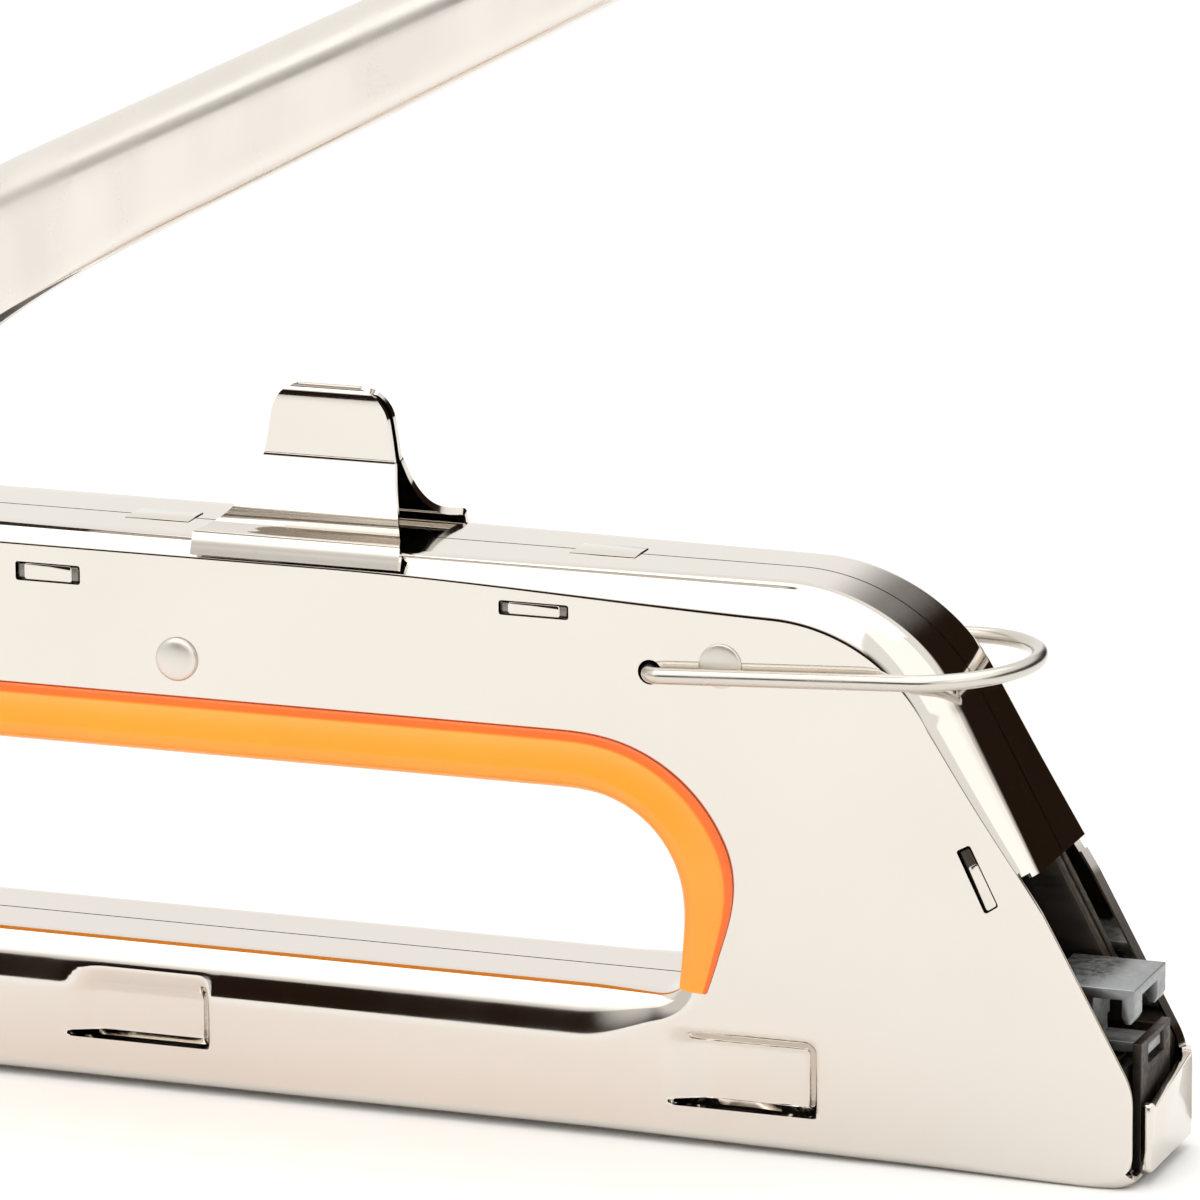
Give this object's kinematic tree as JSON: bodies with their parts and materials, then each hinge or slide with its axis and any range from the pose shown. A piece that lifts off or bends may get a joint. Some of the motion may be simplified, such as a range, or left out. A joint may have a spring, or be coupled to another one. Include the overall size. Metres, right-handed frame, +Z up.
{
  "type": "hand staple gun",
  "caption": "Squeeze-lever hand staple gun with pressed steel half shells, orange finger grip, wire lock bail, sliding power saddle, hammer arm and rear pull-out staple rail.",
  "frame": {"origin": "middle of the bounding box in plan, at the lowest point of the nose", "axes": "+X to the nose, +Y to the left shell, +Z up; the flat sides of the body are parallel to XZ"},
  "size_m": [0.174, 0.0236, 0.1346],
  "materials": {
    "chrome_sheet": "polished chrome plate",
    "orange_grip": "satin moulded plastic",
    "zinc_plated": "zinc plated",
    "bare_steel": "oiled bare steel",
    "spring_steel": "oiled spring wire",
    "cast_zinc": "zinc plated casting",
    "dark_steel": "blackened steel",
    "bright_wire": "satin plated wire",
    "black_rubber": "matt",
    "black_plastic": "matt"
  },
  "bodies": {
    "frame": {"right_shell": "chrome_sheet", "left_shell": "chrome_sheet", "grip_trim": "orange_grip", "fulcrum_pin": "zinc_plated", "front_pin": "zinc_plated", "lever_pin": "zinc_plated", "rear_clip": "bare_steel", "middle_clip": "bare_steel", "right_nose_liner": "bare_steel", "left_nose_liner": "bare_steel", "staple_channel": "bare_steel", "nose_guide": "bare_steel", "spring_seat": "bare_steel", "buffer": "black_rubber", "heel_spacer": "black_plastic", "main_spring": "spring_steel", "return_spring": "spring_steel"},
    "squeeze_lever": {"lever": "chrome_sheet", "lever_bracket": "dark_steel", "roller_pin": "zinc_plated"},
    "roller": {"cam_roller": "bare_steel"},
    "hammer": {"hammer_arm": "cast_zinc"},
    "driver": {"driver_blade": "bare_steel"},
    "bail": {"lock_bail": "bright_wire"},
    "saddle": {"power_saddle": "chrome_sheet"},
    "magazine_rail": {"pusher_rail": "bare_steel", "pusher_cap": "black_plastic", "guide_rod": "zinc_plated", "follower_spring": "spring_steel"},
    "staple_follower": {"follower": "zinc_plated"}
  },
  "joints": [
    {"name": "lever_swing", "type": "hinge", "parent": "frame", "child": "squeeze_lever", "pos_m": [-0.072, 0, 0.056], "axis": [0, 1, 0], "range_deg": [0, 27], "stiffness_Nm_per_rad": 1.5, "springref_deg": -20.05, "deforming": ["return_spring"]},
    {"name": "roller_spin", "type": "hinge", "parent": "squeeze_lever", "child": "roller", "pos_m": [-0.06328, 0, 0.05813], "axis": [0, 1, 0], "continuous": true},
    {"name": "hammer_swing", "type": "hinge", "parent": "frame", "child": "hammer", "pos_m": [-0.0217, 0, 0.0489], "axis": [0, 1, 0], "range_deg": [-6, 0], "deforming": ["main_spring"]},
    {"name": "driver_slide", "type": "slide", "parent": "frame", "child": "driver", "axis": [0, 0, 1], "range_m": [0, 0.0112]},
    {"name": "bail_swing", "type": "hinge", "parent": "frame", "child": "bail", "pos_m": [0.0324, 0, 0.0519], "axis": [0, -1, 0], "range_deg": [0, 47]},
    {"name": "saddle_slide", "type": "slide", "parent": "frame", "child": "saddle", "axis": [1, 0, 0], "range_m": [-0.009, 0.009]},
    {"name": "rail_slide", "type": "slide", "parent": "frame", "child": "magazine_rail", "axis": [-1, 0, 0], "range_m": [0, 0.1]},
    {"name": "follower_slide", "type": "slide", "parent": "magazine_rail", "child": "staple_follower", "axis": [1, 0, 0], "range_m": [-0.085, 0], "stiffness_N_per_m": 15, "springref_m": 0.1, "deforming": ["follower_spring"]}
  ],
  "couplings": [
    {"joint": "hammer_swing", "follows": "lever_swing", "ratio": -0.2145},
    {"joint": "driver_slide", "follows": "lever_swing", "m_per_rad": 0.02324}
  ]
}
